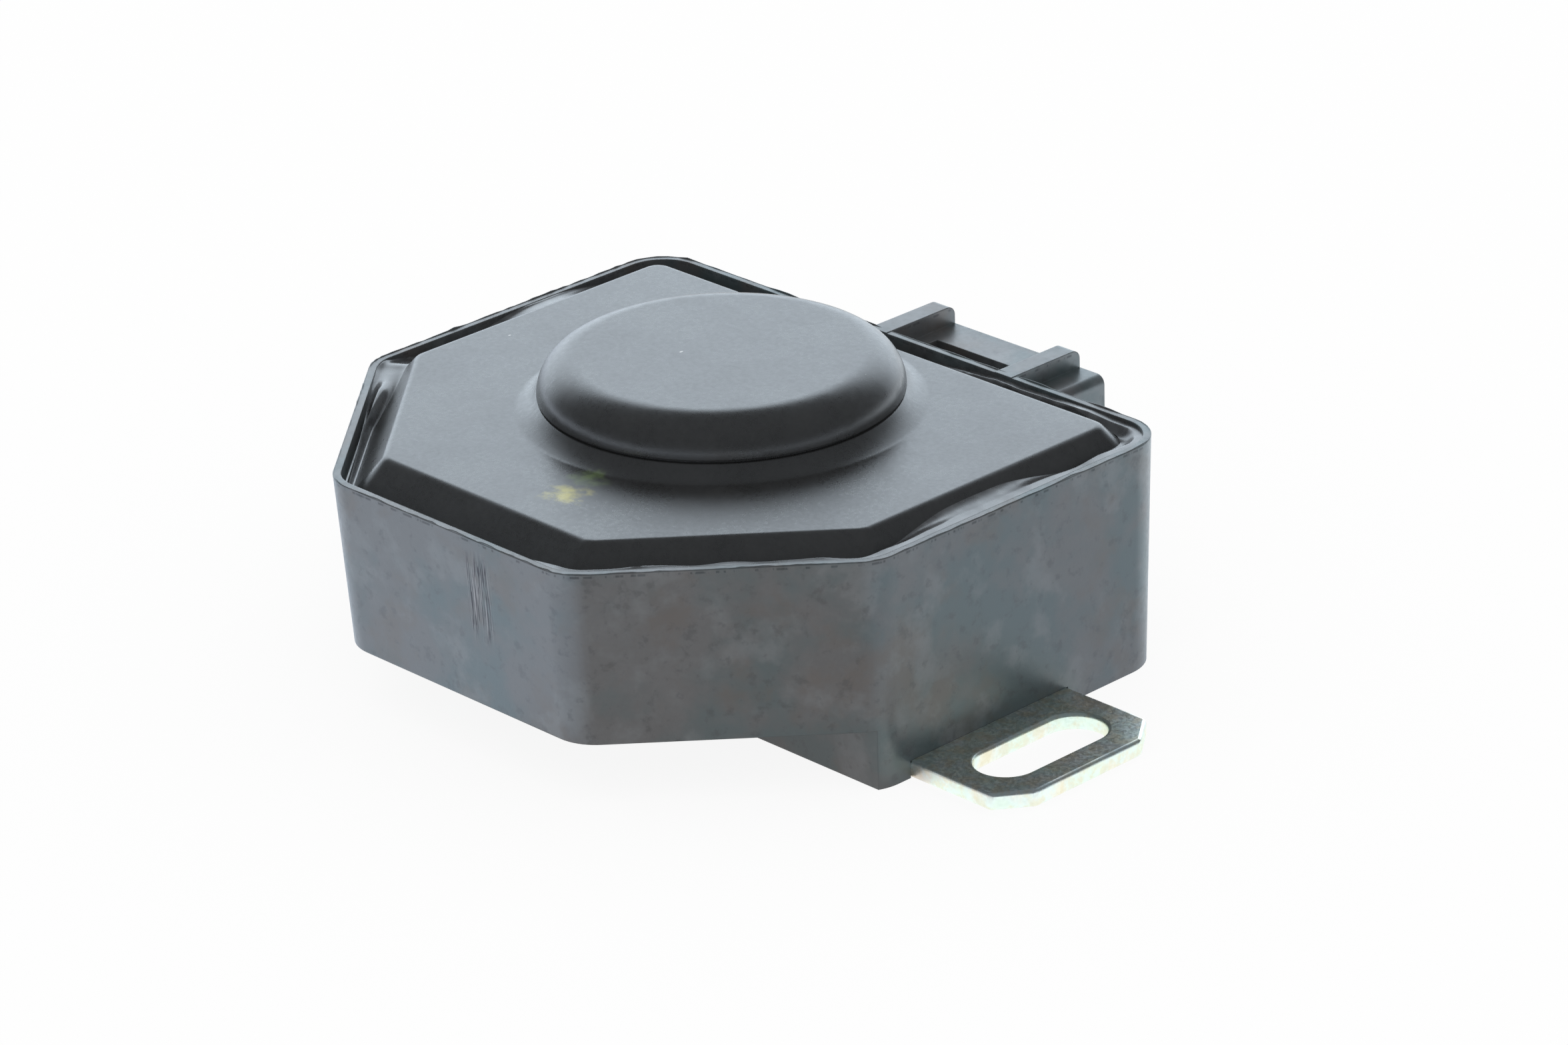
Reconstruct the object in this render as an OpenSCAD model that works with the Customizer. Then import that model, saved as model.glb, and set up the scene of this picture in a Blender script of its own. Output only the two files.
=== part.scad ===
// Throttle-valve potentiometer: a sealed rotary sensor that is bolted over the end of a throttle shaft.
// The origin is on the shaft axis, in the plane of the mounting face. +Z points up the shaft towards
// the cover, +Y towards the connector, and the two slotted ears stand out along X.

/* [Housing outline] */
// Width of the housing across the ears
body_w = 60; // [56:0.5:70]
// Distance from the shaft axis to the wall that carries the connector
back_len = 21.5; // [21:0.5:26]
// Distance from the shaft axis to the front wall
front_len = 30.4; // [29:0.5:34]
// Width of the straight front wall between the two sloping corners
front_w = 27.2; // [24:0.2:32]
// Distance in front of the shaft axis at which the sloping corners begin
shoulder_len = 12.0; // [10:0.5:14]
// Radius of the housing's upright corners
corner_r = 4.2; // [2.5:0.1:5]
// Distance that the front wall leans in between the rim and the mounting face
lean_front = 0.8; // [0:0.1:1.2]
// The same for the connector's wall
lean_back = 0.6; // [0:0.1:1.2]
// The same for the left wall and its sloping corner
lean_left = 1.2; // [0:0.1:1.4]
// The same for the right wall and its sloping corner
lean_right = 0.1; // [0:0.1:1.2]

/* [Housing heights and walls] */
// Height of the rim above the mounting face
rim_h = 19.8; // [19.4:0.1:24]
// Height of the raised front underside above the mounting face
step_h = 5.15; // [4.5:0.05:6]
// Thickness of the thin rim that stands round the cover
rim_t = 0.65; // [0.5:0.05:1]
// Thickness of the walls under the cover's ledge
wall_t = 2.4; // [2:0.1:3]
// Thickness of the floor
floor_t = 2.0; // [1.6:0.1:2.5]
// Depth of the ledge that carries the cover, below the rim
ledge_depth = 3.2; // [3:0.1:3.4]

/* [Connector] */
// Offset of the connector's centre from the shaft axis, along X
conn_x = 4.4; // [0:0.2:6]
// Width of the shroud
conn_w = 22.0; // [21.6:0.2:24]
// Distance that the shroud stands out of the back wall
conn_len = 7.6; // [6:0.2:12]
// Height of the shroud's upper face
conn_top = 18.2; // [17.4:0.1:18.6]
// Height of the shroud's lower face
conn_bottom = 6.2; // [5.5:0.1:6.4]
// Thickness of the shroud
shroud_t = 1.3; // [1.1:0.1:1.5]
// Depth of the socket behind the shroud's mouth
socket_depth = 11.0; // [10:0.2:12]
// Thickness of the wall behind the socket
socket_back_t = 2.0; // [1.6:0.1:2.2]
// Radius of the shroud's long edges
shroud_r = 0.8; // [0.6:0.1:1.4]
// Width of one key rib on the shroud's upper face
rib_w = 1.9; // [1.5:0.1:2.4]
// Distance between the centres of the two key ribs
rib_pitch = 14.5; // [12:0.1:16]
// Height of the key ribs above the shroud
rib_h = 1.65; // [1:0.05:1.8]
// Radius that rounds the outer end of each key rib
rib_r = 0.85; // [0.4:0.05:0.9]
// Distance that the ribs end behind the shroud's mouth
rib_recess = 0.0; // [0:0.05:0.5]
// Depth of the shallow pocket between the ribs
pocket_depth = 0.7; // [0.3:0.1:0.9]
// Length of the shallow pocket, out from the back wall
pocket_len = 3.9; // [2:0.1:4.5]
// Width of the shallow pocket
pocket_w = 10.4; // [8:0.2:11.4]
// Offset of the shallow pocket from the connector's centre
pocket_x = 0.4; // [0:0.1:0.5]

/* [Terminals] */
// Distance between neighbouring blades
blade_pitch = 5.0; // [4.8:0.1:5.2]
// Height of a blade
blade_h = 2.8; // [2.4:0.1:3]
// Thickness of a blade
blade_t = 0.8; // [0.6:0.1:0.9]
// Distance that the blades' tips lie behind the shroud's mouth
blade_recess = 2.6; // [2:0.2:4]
// Length of a tail along Y
tail_w = 1.4; // [1:0.1:1.6]
// Distance that the tails stand out under the board
tail_out = 0.8; // [0.4:0.1:1]
// Size of the cuts at a blade's tip, along the blade
tip_cut = 0.9; // [0.5:0.1:1.2]
// Height of the solder round a tail
solder_h = 0.5; // [0.3:0.1:0.55]

/* [Cover] */
// Height of the cover's plateau above the rim
plateau_rise = 0.95; // [0.5:0.05:1.5]
// Thickness of the cover
cover_t = 2.0; // [1.6:0.1:2.2]
// Inset of the plateau from the housing's two side walls
inset_side = 3.6; // [3:0.1:4.5]
// Inset of the plateau from the back wall
inset_back = 3.95; // [3:0.05:4.5]
// Inset of the plateau from the front wall
inset_front = 4.45; // [3:0.05:5]
// Inset of the plateau from the sloping corners
inset_slope = 4.1; // [3:0.1:5]
// Distance that the hollow under the lid stays inside the plateau's edge
flange_w = 1.2; // [0.8:0.1:1.6]
// Radius of the plateau's corners
plateau_r = 1.2; // [0.6:0.1:2]
// Radius that rounds the plateau's edge
edge_r = 0.8; // [0.4:0.1:1.2]
// Gap between the cover's flange and the rim, filled by the sealing compound
seal_gap = 0.65; // [0.4:0.05:0.8]
// Height of the cover's flange, from the ledge to the foot of the bevel
flange_h = 1.2; // [0.8:0.1:1.6]

/* [Dome] */
// Radius of the dome
dome_r = 15.1; // [14.6:0.1:16]
// Height of the dome above the plateau
dome_h = 4.55; // [4.4:0.05:6]
// Radius of the dome's rounded shoulder
dome_edge_r = 3.2; // [2:0.1:3.3]
// Height of the ring that the dome stands on
ring_h = 1.1; // [0.9:0.05:1.2]
// Radius of the groove under the dome
neck_r = 14.75; // [14:0.05:15]
// Height of the groove under the dome
neck_h = 0.25; // [0.2:0.05:0.4]
// Radius of the hollow fillet from the ring to the plateau
ring_fillet_r = 3.2; // [2.6:0.1:3.6]
// Depth that the fillet's circle dips into the plateau, so that the two meet at an angle
fillet_sink = 0.03; // [0.02:0.01:0.06]
// Outer radius of that fillet on the plateau
ring_foot_r = 17.5; // [17:0.1:18]
// Thickness of the dome's roof
dome_t = 1.9; // [1.6:0.1:2.1]
// Thickness of the dome's side
dome_side_t = 2.2; // [1.8:0.1:2.6]

/* [Sealing compound] */
// Depth of the compound's surface below the rim
compound_drop = 1.5; // [1:0.1:2]

/* [Mounting plate] */
// Distance from the side wall to the slot's centre line
slot_out = 5.45; // [5:0.05:8]
// Width of a slot
slot_w = 5.2; // [4.5:0.1:5.6]
// Length of a slot, end to end
slot_len = 13.1; // [10:0.1:13.6]
// Width of the metal outside the slot
ear_rim = 2.65; // [1.6:0.05:4]
// Width of the plate
plate_w = 18.0; // [17.8:0.2:22]
// Thickness of the plate
plate_t = 1.5; // [1.2:0.1:1.8]
// Length of the cut across each corner of the ears, along X
ear_cut_x = 2.2; // [1:0.1:3]
// Length of that cut along Y
ear_cut_y = 3.0; // [1:0.1:4]
// Width of the plate's ring round its middle hole
plate_ring_w = 1.5; // [1.2:0.1:1.7]

/* [Shaft and bearing] */
// Radius of the recess that centres the housing on the throttle body's spigot
spigot_r = 9.75; // [9.5:0.05:10]
// Depth of that recess
spigot_h = 3.0; // [2.4:0.1:3.2]
// Radius of the throttle shaft
shaft_r = 4.0; // [3:0.1:4.4]
// Distance from the shaft's axis to its flat
shaft_flat = 2.9; // [2.2:0.1:3]
// Clearance of the socket round the shaft
socket_gap = 0.05; // [0.02:0.01:0.1]
// Depth of the socket for the shaft
drive_depth = 11.0; // [9:0.5:11.5]
// Radius of the rotor's hub
hub_r = 7.0; // [6.8:0.1:7.2]
// Running clearance round the hub, on the radius
run_gap = 0.05; // [0.02:0.01:0.1]
// Thickness of the bush
bush_t = 1.5; // [1.2:0.1:1.8]
// Thickness of the bush's flange
bush_flange_t = 0.6; // [0.4:0.1:0.8]
// Width of the bush's flange beyond the bush
bush_flange_w = 1.1; // [0.8:0.1:1.3]
// Thickness of the boss round the bush
boss_t = 2.2; // [2:0.1:2.4]
// Height of the boss that carries the bush
boss_top = 10.6; // [10.4:0.1:10.8]
// Thickness of the thrust washer
washer_t = 0.5; // [0.4:0.1:0.6]
// End clearance between two pieces that turn on each other
end_gap = 0.05; // [0.03:0.01:0.1]
// Height of the shaft seal
seal_h = 3.2; // [2.8:0.1:3.4]
// Radial thickness of the shaft seal
seal_t = 2.0; // [1.8:0.1:2.2]
// Radius of the garter spring's wire coil
garter_r = 0.45; // [0.35:0.05:0.5]

/* [Rotor] */
// Height of the rotor's lower end above the mounting face
hub_bottom = 3.4; // [3.3:0.1:4]
// Thickness of the rotor's disc and arm
disc_t = 2.0; // [1.8:0.1:2.4]
// Radius of the rotor's disc
disc_r = 12.0; // [11:0.1:12.4]
// Radius of the end of the arm
arm_r = 19.2; // [18.9:0.1:20]
// Angle that the arm covers
arm_angle = 32; // [26:1:36]
// Radius of the rotor's upper hub
top_hub_r = 5.5; // [5:0.1:5.8]
// Height of the upper hub above the disc
top_hub_h = 6.6; // [6:0.1:6.8]
// Radius of the cover's bearing pin
pin_r = 3.0; // [2.5:0.1:3.4]
// Depth that the pin reaches into the rotor
pin_depth = 4.0; // [3:0.1:4.4]
// Room under the pin's tip
pin_room = 0.5; // [0.3:0.1:0.6]
// Radius of the cover's boss over the disc spring
pin_boss_r = 5.2; // [4.8:0.1:5.6]
// Height of the disc spring
disc_spring_h = 0.9; // [0.7:0.1:1]
// Thickness of the disc spring
disc_spring_t = 0.3; // [0.2:0.05:0.4]
// Travel of the rotor between its stops
travel_angle = 95; // [80:1:100]
// Angle of the wiper at rest, from +X
wiper_rest = 240; // [232:1:244]

/* [Stops and return spring] */
// Radius of the middle of the stops
stop_r = 10.6; // [10.2:0.1:10.8]
// Radial width of the stops
stop_w = 1.8; // [1.4:0.1:2]
// Height of the rotor's stop lug above its disc
lug_h = 2.6; // [2:0.1:3]
// Depth that the spring's post hangs below the plateau's underside
post_h = 2.0; // [1.6:0.1:2.4]
// Depth that the cover's stop pillars hang below the plateau's underside
pillar_h = 3.6; // [3:0.1:4]
// Angle of the stop lug in the middle of its travel
lug_middle = 90; // [88:1:92]
// Angle that the rotor's stop lug covers
lug_angle = 18; // [14:1:20]
// Angle that each stop pillar of the cover covers
pillar_angle = 14; // [12:1:16]
// Angle left between lug and pillar at either end of the travel
slack_angle = 1.0; // [0.5:0.5:2]
// Wire diameter of the return spring
spring_wire = 0.9; // [0.7:0.05:1]
// Radius of the return spring's coil, to the wire's centre
spring_r = 7.2; // [6.9:0.1:7.4]
// Number of turns of the return spring
spring_turns = 3.5; // [2.5:1:3.5]
// Rise of the spring for each turn
spring_pitch = 1.05; // [1.04:0.01:1.1]

/* [Resistor board and wiper] */
// Height of the board's upper face
board_top = 10.2; // [10:0.1:10.4]
// Thickness of the board
board_t = 1.0; // [0.8:0.1:1.2]
// Clearance round the board and round what passes through it
board_gap = 0.4; // [0.3:0.05:0.5]
// Distance of the board's straight sides from the side walls
board_in = 6.0; // [5:0.2:6.8]
// Mean radius of the resistance track
resist_r = 17.2; // [17:0.1:17.4]
// Mean radius of the collector track
collect_r = 14.0; // [13.8:0.1:14.2]
// Width of a track
track_w = 1.9; // [1.6:0.1:2]
// Thickness of a track
track_t = 0.12; // [0.1:0.01:0.15]
// Angle that the tracks run on past the wiper at either end
track_over_angle = 12; // [8:1:14]
// Radius of a board screw's shank
screw_r = 1.0; // [0.8:0.1:1.1]
// Length of a board screw's shank below the board
screw_len = 1.6; // [1:0.1:1.8]
// Height of a board screw's head
screw_head_h = 1.0; // [0.8:0.1:1.2]
// Radius of a board screw's head
screw_head_r = 1.8; // [1.6:0.1:1.9]
// Width of the slots in a board screw's head
driver_w = 0.5; // [0.4:0.1:0.6]
// Radius of the post that carries a board screw
post_r = 1.9; // [1.7:0.1:2]
// Distance of the front screws behind the front wall
screw_front_in = 6.8; // [6.4:0.1:7.2]
// Distance of the front screws from the middle, along X
screw_front_x = 9.0; // [8:0.1:10]
// Distance of the side screws from the side walls
screw_side_in = 9.0; // [8.6:0.1:9.4]
// Distance of the side screws behind the sloping corners' ends
screw_side_back = 4.0; // [3:0.2:6]
// Thickness of the wiper's sheet
sheet_t = 0.25; // [0.2:0.05:0.3]
// Rise of a finger's turned-up tip
tip_rise = 0.5; // [0.3:0.1:0.6]
// Width of one wiper finger
finger_w = 1.1; // [0.9:0.1:1.3]
// Length of a wiper finger
finger_len = 6.0; // [5:0.2:7]
// Radius of a wiper rivet
rivet_r = 0.7; // [0.5:0.05:0.8]

/* [Shaft clip and rivets] */
// Thickness of the leaf that takes up play on the shaft
clip_t = 0.3; // [0.2:0.05:0.35]
// Width of the leaf
clip_w = 3.6; // [3:0.2:4]
// Depth of the leaf's recess behind the flat
clip_room = 0.6; // [0.5:0.05:0.8]
// Distance of the leaf's ends from the ends of the socket
clip_margin = 0.8; // [0.6:0.1:1.5]
// Radius of a rivet's head
rivet_head_r = 1.1; // [0.9:0.1:1.2]
// Height of a rivet's head
rivet_head_h = 0.35; // [0.25:0.05:0.4]
// Distance of each rivet inside the fingers' middle lines
rivet_inset = 0.3; // [0.1:0.1:0.4]
// Distance of the rivets from the arm's middle line
rivet_y = 0.6; // [0.4:0.1:0.8]
// Distance of the fingers' root from the arm's middle line
base_y = -1.4; // [-1.8:0.1:-1.2]

/* [Hidden] */
$fn = 64;
// Overlap that lets one cut run clear of the face it starts from
cut = 1;
// Height of the thin layers that a hull is drawn over
layer_t = 0.01;
// Smallest radius of an inner corner
min_r = 0.6;

// Housing
half_w = body_w / 2;
ledge_z = rim_h - ledge_depth;
front_floor_z = step_h + floor_t;
plinth_floor_z = plate_t + floor_t;
boss_r = hub_r + run_gap + bush_t + boss_t;
plinth_front = shoulder_len + 0.2;

// Mounting plate
slot_x = half_w + slot_out;
ear_x = slot_x + slot_w / 2 + ear_rim;

// Connector
conn_mid_z = (conn_top + conn_bottom) / 2;
mouth_y = back_len + conn_len;
socket_y = mouth_y - socket_depth;
inner_back_y = socket_y - socket_back_t;
tail_y = (boss_r + inner_back_y) / 2;
rib_end = mouth_y - rib_recess;
rib_top = conn_top + rib_h;

// Cover and dome
plateau_z = rim_h + plateau_rise;
lid_under_z = plateau_z - cover_t;
dome_z = plateau_z + dome_h;
neck_z = plateau_z + ring_h;
bevel_foot_z = ledge_z + flange_h;
flange_inset = rim_t + seal_gap;
bevel_angle = atan((plateau_z - bevel_foot_z) / (inset_slope - flange_inset));
edge_steps = 3;
compound_z = rim_h - compound_drop;
dome_inner_r = dome_r - dome_side_t;
dome_inner_z = dome_z - dome_t;
ring_fillet_z = plateau_z + ring_fillet_r - fillet_sink;

// Bearing, from the mounting face up
bush_r = hub_r + run_gap + bush_t;
seal_z = spigot_h;
seal_r = hub_r + run_gap + seal_t;
bush_z = seal_z + seal_h;
bush_top = boss_top + bush_flange_t;
washer_top = bush_top + washer_t;
disc_z = washer_top + end_gap;
disc_top = disc_z + disc_t;
hub_top = disc_top + top_hub_h;
drive_top = hub_bottom + drive_depth;
socket_r = shaft_r + socket_gap;
pin_tip_z = hub_top - pin_depth;
pin_boss_z = hub_top + disc_spring_h + end_gap;

// Travel, seen from above
wiper_end = wiper_rest + travel_angle;
lug_rest = lug_middle - travel_angle / 2;
low_pillar = lug_rest - (lug_angle + pillar_angle) / 2 - slack_angle;
high_pillar = lug_rest + travel_angle + (lug_angle + pillar_angle) / 2 + slack_angle;

// Board
board_z = board_top - board_t;
track_z = board_top + track_t;
finger_z = track_z + end_gap;
spring_z = disc_top + spring_wire / 2;
leg_angle = lug_rest + lug_angle / 2 + asin(spring_wire / 2 / stop_r);
top_leg_angle = leg_angle + 360 * spring_turns;

// Corners of the housing's plan, counter-clockwise from the front left, and the inset of each side that
// starts there
plan = [
  [-front_w / 2, -front_len], [front_w / 2, -front_len], [half_w, -shoulder_len],
  [half_w, back_len], [-half_w, back_len], [-half_w, -shoulder_len]
];
plateau_insets = [inset_front, inset_slope, inset_side, inset_back, inset_side, inset_slope];
wall_leans = [lean_front, lean_right, lean_right, lean_back, lean_left, lean_left];
front_screws = [for (side = [-1, 1]) [side * screw_front_x, screw_front_in - front_len]];
side_screws = [for (side = [-1, 1]) [side * (half_w - screw_side_in), screw_side_back - shoulder_len]];

// Places of the two rivets along the arm
rivet_places = [collect_r + rivet_inset, resist_r - rivet_inset];

function unit(v) = v / norm(v);
function left_of(v) = [-v[1], v[0]];
function ring_of(r, angle) = [r * cos(angle), r * sin(angle)];
function same(inset) = [for (corner = plan) inset];

// Meeting point of two lines, each given by a point and a direction
function meet(p, d, q, e) = p + d * ((q - p) * left_of(e)) / (d * left_of(e));

// The plan with each side moved inwards by its own inset
function inset_plan(insets) = [
  for (i = [0:5])
    let (
      before = (i + 5) % 6,
      after = (i + 1) % 6,
      d_in = unit(plan[i] - plan[before]),
      d_out = unit(plan[after] - plan[i])
    )
    meet(plan[before] + left_of(d_in) * insets[before], d_in, plan[i] + left_of(d_out) * insets[i], d_out)
];

// Outline of a convex shape with round corners: the corners' arcs and the polygon between their ends
module rounded(points, r) {
  last = len(points) - 1;
  ends = [
    for (i = [0:last])
      let (
        p = points[i],
        u = unit(points[i == 0 ? last : i - 1] - p),
        v = unit(points[i == last ? 0 : i + 1] - p),
        half = acos(u * v) / 2
      )
      [p + u * r / tan(half), p + v * r / tan(half), p + unit(u + v) * r / sin(half)]
  ];
  polygon([for (corner = ends) each [corner[0], corner[1]]]);
  for (corner = ends) translate(corner[2]) circle(r);
}

// Prism between two heights
module slab(z0, z1) {
  translate([0, 0, z0]) linear_extrude(z1 - z0) children();
}

// Prism on the housing's plan, inset all round
module plan_slab(inset, z0, z1) {
  slab(z0, z1) rounded(inset_plan(same(inset)), max(corner_r - inset, min_r));
}

// Flat tube between two heights
module tube(r_out, r_in, z0, z1) {
  slab(z0, z1) difference() {
    circle(r_out);
    circle(r_in);
  }
}

// Flat sector of a ring, centred on an angle
module sector(r_out, r_in, middle, angle) {
  far = r_out / cos(angle / 4) + cut;
  intersection() {
    difference() {
      circle(r_out);
      circle(r_in);
    }
    polygon([for (k = [0:4]) k == 0 ? [0, 0] : ring_of(far, middle + angle * (k - 2.5) / 3)]);
  }
}

// Profile in the YZ plane, made into a plate of the given thickness about x
module yz_plate(x, thickness) {
  translate([x - thickness / 2, 0, 0]) rotate([90, 0, 90]) linear_extrude(thickness) children();
}

// Profile in the XZ plane, drawn out along +Y from y0 to y1
module xz_bar(y0, y1) {
  translate([0, y1, 0]) rotate([90, 0, 0]) linear_extrude(y1 - y0) children();
}

// Rectangle with rounded corners, about its centre
module soft_rect(w, h, r) {
  rounded([[-w / 2, -h / 2], [w / 2, -h / 2], [w / 2, h / 2], [-w / 2, h / 2]], r);
}

// Outline of the plate: a strip with cut corners, widened to a ring round the shaft
module plate_outline() {
  y = plate_w / 2;
  difference() {
    union() {
      polygon([
        [-ear_x, ear_cut_y - y], [ear_cut_x - ear_x, -y], [ear_x - ear_cut_x, -y], [ear_x, ear_cut_y - y],
        [ear_x, y - ear_cut_y], [ear_x - ear_cut_x, y], [ear_cut_x - ear_x, y], [-ear_x, y - ear_cut_y]
      ]);
      circle(spigot_r + plate_ring_w);
    }
    circle(spigot_r);
  }
}

// One slot, long along Y
module slot_outline() {
  reach = (slot_len - slot_w) / 2;
  square([slot_w, 2 * reach], center = true);
  translate([0, reach]) circle(slot_w / 2);
  translate([0, -reach]) circle(slot_w / 2);
}

// Blade positions along X
function blade_x(i) = conn_x + (i - 1) * blade_pitch;

// Solid of the housing before it is hollowed: its walls lean in a little, and the front is cut away
// under the step, which leaves the plinth
module housing_block() {
  difference() {
    hull() {
      slab(0, layer_t) rounded(inset_plan(wall_leans), corner_r);
      plan_slab(0, rim_h - layer_t, rim_h);
    }
    translate([-half_w - cut, -front_len - cut, -cut])
      cube([body_w + 2 * cut, front_len + cut - plinth_front, step_h + cut]);
  }
}

// Side view of one key rib, with its rounded outer end
module rib_profile() {
  translate([back_len - cut, conn_top - cut]) square([rib_end - rib_r - back_len + cut, rib_h + cut]);
  translate([back_len - cut, conn_top - cut]) square([rib_end - back_len + cut, rib_h + cut - rib_r]);
  translate([rib_end - rib_r, rib_top - rib_r]) circle(rib_r);
}

// Shroud of the connector with its two key ribs
module connector_block() {
  translate([conn_x, 0, conn_mid_z])
    xz_bar(back_len - cut, mouth_y) soft_rect(conn_w, conn_top - conn_bottom, shroud_r);
  for (side = [-1, 1]) yz_plate(conn_x + side * rib_pitch / 2, rib_w) rib_profile();
}

// Everything that is hollow inside the tub, down to the two floor levels
module tub_hollow() {
  plan_slab(rim_t, ledge_z, rim_h + cut);
  plan_slab(wall_t, front_floor_z, ledge_z + cut);
  slab(plinth_floor_z, front_floor_z + cut) intersection() {
    rounded(inset_plan(same(wall_t)), corner_r - wall_t);
    translate([-half_w, wall_t - plinth_front]) square([body_w, plinth_front - wall_t + back_len]);
  }
}

// Inner wall behind the socket, the boss round the bush, and the posts that carry the board
module tub_fill() {
  slab(plinth_floor_z - cut, ledge_z)
    translate([conn_x - conn_w / 2, inner_back_y]) square([conn_w, back_len - wall_t - inner_back_y + cut]);
  slab(plinth_floor_z - cut, boss_top) circle(boss_r);
  for (place = front_screws) slab(step_h + floor_t / 2, board_z) translate(place) circle(post_r);
  for (place = side_screws) slab(plate_t + floor_t / 2, board_z) translate(place) circle(post_r);
}

module housing() {
  color([0.16, 0.17, 0.18]) difference() {
    union() {
      difference() {
        union() {
          housing_block();
          connector_block();
        }
        tub_hollow();
      }
      tub_fill();
    }
    // Seat of the plate
    slab(-cut, plate_t) plate_outline();
    // Spigot recess, seal seat and bush seat
    translate([0, 0, -cut]) cylinder(h = spigot_h + cut, r = spigot_r);
    translate([0, 0, seal_z - cut]) cylinder(h = seal_h + cut, r = seal_r);
    translate([0, 0, bush_z - cut]) cylinder(h = boss_top - bush_z + 2 * cut, r = bush_r);
    // Socket of the connector
    translate([conn_x, 0, conn_mid_z])
      xz_bar(socket_y, mouth_y + cut)
        soft_rect(conn_w - 2 * shroud_t, conn_top - conn_bottom - 2 * shroud_t, min_r);
    // Slits that the blades pass through
    for (i = [0:2])
      translate([blade_x(i) - blade_t / 2, inner_back_y - cut, conn_mid_z - blade_h / 2])
        cube([blade_t, socket_y - inner_back_y + 2 * cut, blade_h]);
    // Shallow pocket on the shroud's upper face
    translate([conn_x + pocket_x - pocket_w / 2, back_len, conn_top - pocket_depth])
      cube([pocket_w, pocket_len, pocket_depth + cut]);
    // Threads' core holes in the board's posts
    for (place = concat(front_screws, side_screws))
      translate([place[0], place[1], board_z - screw_len]) cylinder(h = screw_len + cut, r = screw_r);
  }
}

// Half section of the ring under the dome, with its hollow fillet
module ring_profile() {
  difference() {
    square([ring_foot_r, neck_z]);
    translate([ring_foot_r, ring_fillet_z]) circle(ring_fillet_r);
  }
}

// Half section of the dome, with its rounded shoulder
module dome_profile() {
  square([neck_r, neck_z + neck_h]);
  intersection() {
    union() {
      square([dome_r, dome_z - dome_edge_r]);
      square([dome_r - dome_edge_r, dome_z]);
      translate([dome_r - dome_edge_r, dome_z - dome_edge_r]) circle(dome_edge_r);
    }
    translate([0, neck_z + neck_h]) square([dome_r + cut, dome_h]);
  }
}

// Flange, bevel and plateau of the lid, without its hollow. Thin layers make the rounded edge
module lid_block() {
  hull() {
    slab(ledge_z, bevel_foot_z)
      rounded(inset_plan(same(flange_inset)), corner_r - flange_inset, $fn = 32);
    for (k = [0:edge_steps])
      let (
        a = bevel_angle * k / edge_steps,
        out = edge_r * (sin(a) - tan(bevel_angle / 2)),
        z = plateau_z - edge_r * (1 - cos(a))
      )
      slab(z - layer_t, z)
        rounded(inset_plan([for (inset = plateau_insets) inset - out]), plateau_r + out, $fn = 32);
  }
}

// Hollow under the lid, and the round one under the dome
module lid_hollow() {
  slab(ledge_z - cut, lid_under_z)
    rounded(inset_plan([for (inset = plateau_insets) inset + flange_w]), plateau_r);
  translate([0, 0, ledge_z]) cylinder(h = dome_inner_z - ledge_z, r = dome_inner_r);
}

// Pillar that hangs from the dome's roof to a depth below the underside of the lid
module lid_pillar(middle, angle, depth) {
  slab(lid_under_z - depth, dome_inner_z + cut)
    sector(stop_r + stop_w / 2, stop_r - stop_w / 2, middle, angle);
}

module cover() {
  color([0.19, 0.2, 0.21]) {
    difference() {
      union() {
        lid_block();
        rotate_extrude() intersection() {
          union() {
            ring_profile();
            dome_profile();
          }
          translate([0, lid_under_z]) square([ring_foot_r + cut, dome_z]);
        }
      }
      lid_hollow();
    }
    // Bearing pin with its boss, stop pillars and the post that holds the spring's upper leg
    translate([0, 0, pin_boss_z]) cylinder(h = dome_inner_z - pin_boss_z + cut, r = pin_boss_r);
    translate([0, 0, pin_tip_z]) cylinder(h = dome_inner_z - pin_tip_z, r = pin_r);
    lid_pillar(low_pillar, pillar_angle, pillar_h);
    lid_pillar(high_pillar, pillar_angle, pillar_h);
    lid_pillar(top_leg_angle + pillar_angle / 2 + asin(spring_wire / 2 / stop_r), pillar_angle, post_h);
  }
}

module sealing_compound() {
  color([0.22, 0.23, 0.24]) difference() {
    plan_slab(rim_t, ledge_z, compound_z);
    lid_block();
  }
}

module mounting_plate() {
  color([0.62, 0.6, 0.52]) slab(0, plate_t) difference() {
    plate_outline();
    for (side = [-1, 1]) translate([side * slot_x, 0]) slot_outline();
  }
}

module shaft_bush() {
  color([0.6, 0.45, 0.25]) {
    tube(bush_r, hub_r + run_gap, bush_z, boss_top);
    tube(bush_r + bush_flange_w, hub_r + run_gap, boss_top, bush_top);
  }
}

module thrust_washer() {
  color([0.85, 0.83, 0.75]) tube(bush_r + bush_flange_w, hub_r + 2 * run_gap, bush_top, washer_top);
}

// Lip seal: a ring with a channel for the garter spring round its lip
module shaft_seal() {
  color([0.1, 0.1, 0.1]) rotate_extrude() difference() {
    translate([hub_r + run_gap, seal_z]) square([seal_t, seal_h]);
    translate([hub_r + run_gap + seal_t / 2, seal_z + garter_r]) circle(garter_r);
    translate([hub_r + run_gap + seal_t / 2 - garter_r, seal_z - cut]) square([2 * garter_r, garter_r + cut]);
  }
}

module seal_spring() {
  color([0.7, 0.7, 0.7]) rotate_extrude()
    translate([hub_r + run_gap + seal_t / 2, seal_z + garter_r]) circle(garter_r);
}

// Outline of the socket: a circle with a flat towards +X
module socket_outline() {
  intersection() {
    circle(socket_r);
    translate([-socket_r - cut, -socket_r - cut])
      square([socket_r + cut + shaft_flat + socket_gap, 2 * (socket_r + cut)]);
  }
}

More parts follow.
